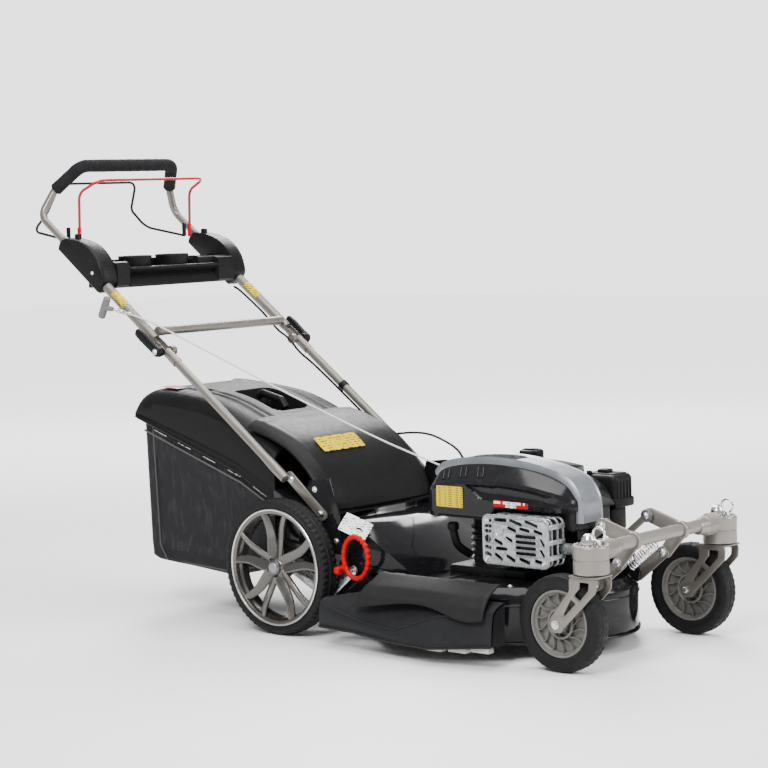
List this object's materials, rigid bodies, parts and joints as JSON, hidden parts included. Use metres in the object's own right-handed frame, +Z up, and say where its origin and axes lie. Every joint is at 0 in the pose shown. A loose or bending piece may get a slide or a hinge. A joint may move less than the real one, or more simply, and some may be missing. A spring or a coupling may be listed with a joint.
{
  "type": "push lawn mower",
  "caption": "Walk-behind lawn mower: steel deck, vertical-shaft engine, swivel front wheels on a lifting beam, folding bail handle with console, rear bag and side chute.",
  "frame": {"origin": "centre of the footprint's bounding box, on the ground under the wheels", "axes": "+X forward in the direction of travel, +Y to the operator's left, +Z up"},
  "size_m": [1.8422, 0.6574, 1.1443],
  "materials": {
    "taupe": "satin warm grey paint",
    "beam_taupe": "satin warm grey coat on a cast beam",
    "gloss_black": "gloss black paint",
    "shroud_black": "gloss black moulding",
    "black_plastic": "fine-grained black moulding",
    "charcoal": "charcoal moulding",
    "tyre_rubber": "moulded tread",
    "rubber": "smooth black",
    "foam": "closed-cell foam",
    "fabric": "woven mesh",
    "gunmetal": "metallic paint over plastic",
    "wheel_grey": "satin grey moulding",
    "steel": "zinc plated",
    "cast": "as cast",
    "silver_plastic": "silver paint",
    "red": "red moulding",
    "crimson": "crimson coat",
    "bail_black": "black coat",
    "grip_grey": "mid grey moulding"
  },
  "bodies": {
    "deck": {"deck_shell": "gloss_black", "rear_housing": "gloss_black", "handle_bracket_right": "gloss_black", "handle_bracket_left": "gloss_black", "front_bracket": "gloss_black", "engine_block": "cast", "engine_shroud": "shroud_black", "engine_trim": "silver_plastic", "fuel_tank": "black_plastic", "muffler": "cast", "muffler_guard": "cast", "air_filter_box": "black_plastic", "starter_rope": "fabric", "control_cable_lower": "rubber", "lower_handle_right": "taupe", "lower_handle_left": "taupe", "drive_belt": "rubber", "side_chute": "charcoal", "lift_spring": "steel"},
    "crank": {"crankshaft": "steel", "blade": "steel", "flywheel": "cast"},
    "fuel_cap": {"fuel_cap": "black_plastic"},
    "air_filter_lid": {"air_filter_lid": "black_plastic"},
    "rear_axle": {"rear_swing_axle": "steel", "height_ring": "red", "transmission": "cast"},
    "transmission_pulley": {"transmission_pulley": "steel"},
    "rear_wheel_right": {"rear_rim_right": "gunmetal", "rear_tyre_right": "tyre_rubber"},
    "rear_wheel_left": {"rear_rim_left": "gunmetal", "rear_tyre_left": "tyre_rubber"},
    "upper_link": {"upper_link": "taupe"},
    "lower_link_right": {"lower_link_right": "taupe"},
    "lower_link_left": {"lower_link_left": "taupe"},
    "front_beam": {"front_beam": "beam_taupe"},
    "caster_right": {"caster_fork_right": "taupe", "caster_axle_right": "steel"},
    "caster_left": {"caster_fork_left": "taupe", "caster_axle_left": "steel"},
    "front_wheel_right": {"front_rim_right": "wheel_grey", "front_tyre_right": "tyre_rubber"},
    "front_wheel_left": {"front_rim_left": "wheel_grey", "front_tyre_left": "tyre_rubber"},
    "swivel_lock_right": {"swivel_lock_right": "steel"},
    "swivel_lock_left": {"swivel_lock_left": "steel"},
    "upper_handle": {"upper_handle": "taupe", "handle_brace": "taupe", "grip_foam": "foam", "console": "black_plastic", "control_cable_upper": "rubber"},
    "cam_lever_right": {"cam_lever_right": "black_plastic"},
    "cam_lever_left": {"cam_lever_left": "black_plastic"},
    "brake_bail": {"brake_bail": "crimson"},
    "drive_bail": {"drive_bail": "bail_black"},
    "starter_grip": {"starter_grip": "grip_grey"},
    "bag": {"bag_sack": "fabric", "bag_lid": "black_plastic"},
    "rear_flap": {"rear_flap": "charcoal"},
    "side_flap": {"side_flap": "charcoal"}
  },
  "joints": [
    {"name": "crank_spin", "type": "hinge", "parent": "deck", "child": "crank", "pos_m": [0.47811, 0.03671, 0.2], "axis": [0, 0, 1], "continuous": true},
    {"name": "fuel_cap_turn", "type": "hinge", "parent": "deck", "child": "fuel_cap", "pos_m": [0.43811, 0.17271, 0.398], "axis": [0, 0, 1], "range_deg": [0, 90]},
    {"name": "air_filter_lid_hinge", "type": "hinge", "parent": "deck", "child": "air_filter_lid", "pos_m": [0.68811, 0.15871, 0.3115], "axis": [-1, 0, 0], "range_deg": [0, 100]},
    {"name": "cut_height", "type": "hinge", "parent": "deck", "child": "rear_axle", "pos_m": [0.10811, 0.03671, 0.1], "axis": [0, -1, 0], "range_deg": [0, 22.2], "deforming": ["drive_belt", "lift_spring"]},
    {"name": "transmission_input_spin", "type": "hinge", "parent": "rear_axle", "child": "transmission_pulley", "pos_m": [0.06611, 0.17671, 0.138], "axis": [0, 0, 1], "continuous": true},
    {"name": "rear_wheel_spin_right", "type": "hinge", "parent": "rear_axle", "child": "rear_wheel_right", "pos_m": [-0.01189, -0.22529, 0.162], "axis": [0, 1, 0], "continuous": true},
    {"name": "rear_wheel_spin_left", "type": "hinge", "parent": "rear_axle", "child": "rear_wheel_left", "pos_m": [-0.01189, 0.29871, 0.162], "axis": [0, 1, 0], "continuous": true},
    {"name": "upper_link_swing", "type": "hinge", "parent": "deck", "child": "upper_link", "pos_m": [0.73211, 0.03671, 0.24], "axis": [0, 1, 0], "range_deg": [0, 35.7]},
    {"name": "lower_link_swing_right", "type": "hinge", "parent": "deck", "child": "lower_link_right", "pos_m": [0.77311, -0.04554, 0.16], "axis": [0, 1, 0], "range_deg": [0, 35.7]},
    {"name": "lower_link_swing_left", "type": "hinge", "parent": "deck", "child": "lower_link_left", "pos_m": [0.77311, 0.11896, 0.16], "axis": [0, 1, 0], "range_deg": [0, 35.7]},
    {"name": "front_beam_level", "type": "hinge", "parent": "upper_link", "child": "front_beam", "pos_m": [0.80011, 0.03671, 0.296], "axis": [0, -1, 0], "range_deg": [0, 35.7]},
    {"name": "caster_swivel_right", "type": "hinge", "parent": "front_beam", "child": "caster_right", "pos_m": [0.88211, -0.21629, 0.219], "axis": [0, 0, 1], "continuous": true},
    {"name": "caster_swivel_left", "type": "hinge", "parent": "front_beam", "child": "caster_left", "pos_m": [0.88211, 0.28971, 0.219], "axis": [0, 0, 1], "continuous": true},
    {"name": "front_wheel_spin_right", "type": "hinge", "parent": "caster_right", "child": "front_wheel_right", "pos_m": [0.80611, -0.21629, 0.1065], "axis": [0, 1, 0], "continuous": true},
    {"name": "front_wheel_spin_left", "type": "hinge", "parent": "caster_left", "child": "front_wheel_left", "pos_m": [0.80611, 0.28971, 0.1065], "axis": [0, 1, 0], "continuous": true},
    {"name": "swivel_lock_pull_right", "type": "slide", "parent": "front_beam", "child": "swivel_lock_right", "axis": [0, 0, 1], "range_m": [0, 0.012], "stiffness_N_per_m": 300, "springref_m": -0.005},
    {"name": "swivel_lock_pull_left", "type": "slide", "parent": "front_beam", "child": "swivel_lock_left", "axis": [0, 0, 1], "range_m": [0, 0.012], "stiffness_N_per_m": 300, "springref_m": -0.005},
    {"name": "handle_fold", "type": "hinge", "parent": "deck", "child": "upper_handle", "pos_m": [-0.39689, 0.03671, 0.663], "axis": [0, 1, 0], "range_deg": [0, 140], "deforming": ["starter_rope", "control_cable_lower"]},
    {"name": "cam_lever_turn_right", "type": "hinge", "parent": "upper_handle", "child": "cam_lever_right", "pos_m": [-0.39689, -0.23329, 0.663], "axis": [0.6061, 0, 0.7954], "range_deg": [0, 100]},
    {"name": "cam_lever_turn_left", "type": "hinge", "parent": "upper_handle", "child": "cam_lever_left", "pos_m": [-0.39689, 0.30671, 0.663], "axis": [-0.6061, 0, -0.7954], "range_deg": [0, 100]},
    {"name": "brake_bail_squeeze", "type": "hinge", "parent": "upper_handle", "child": "brake_bail", "pos_m": [-0.74289, 0.03671, 0.936], "axis": [0, -1, 0], "range_deg": [0, 28], "stiffness_Nm_per_rad": 0.6, "springref_deg": -28.65},
    {"name": "drive_bail_squeeze", "type": "hinge", "parent": "upper_handle", "child": "drive_bail", "pos_m": [-0.77389, 0.03671, 0.937], "axis": [0, 1, 0], "range_deg": [0, 28], "stiffness_Nm_per_rad": 0.6, "springref_deg": -28.65},
    {"name": "starter_pull", "type": "slide", "parent": "upper_handle", "child": "starter_grip", "axis": [-0.9023, -0.2506, 0.3509], "range_m": [0, 0.6], "stiffness_N_per_m": 10, "springref_m": -0.1},
    {"name": "bag_slide", "type": "slide", "parent": "deck", "child": "bag", "axis": [-1, 0, 0], "range_m": [0, 0.4]},
    {"name": "rear_flap_hinge", "type": "hinge", "parent": "deck", "child": "rear_flap", "pos_m": [0.08511, 0.03671, 0.283], "axis": [0, 1, 0], "range_deg": [0, 75], "stiffness_Nm_per_rad": 0.6, "springref_deg": -28.65},
    {"name": "side_flap_hinge", "type": "hinge", "parent": "deck", "child": "side_flap", "pos_m": [0.44811, -0.22529, 0.17], "axis": [-1, 0, 0], "range_deg": [0, 70], "stiffness_Nm_per_rad": 0.1, "springref_deg": -28.65}
  ],
  "couplings": [
    {"joint": "transmission_input_spin", "follows": "crank_spin", "ratio": 0.7778},
    {"joint": "upper_link_swing", "follows": "cut_height", "ratio": 1.6036},
    {"joint": "lower_link_swing_right", "follows": "cut_height", "ratio": 1.6036},
    {"joint": "lower_link_swing_left", "follows": "cut_height", "ratio": 1.6036},
    {"joint": "front_beam_level", "follows": "cut_height", "ratio": 1.6036}
  ]
}
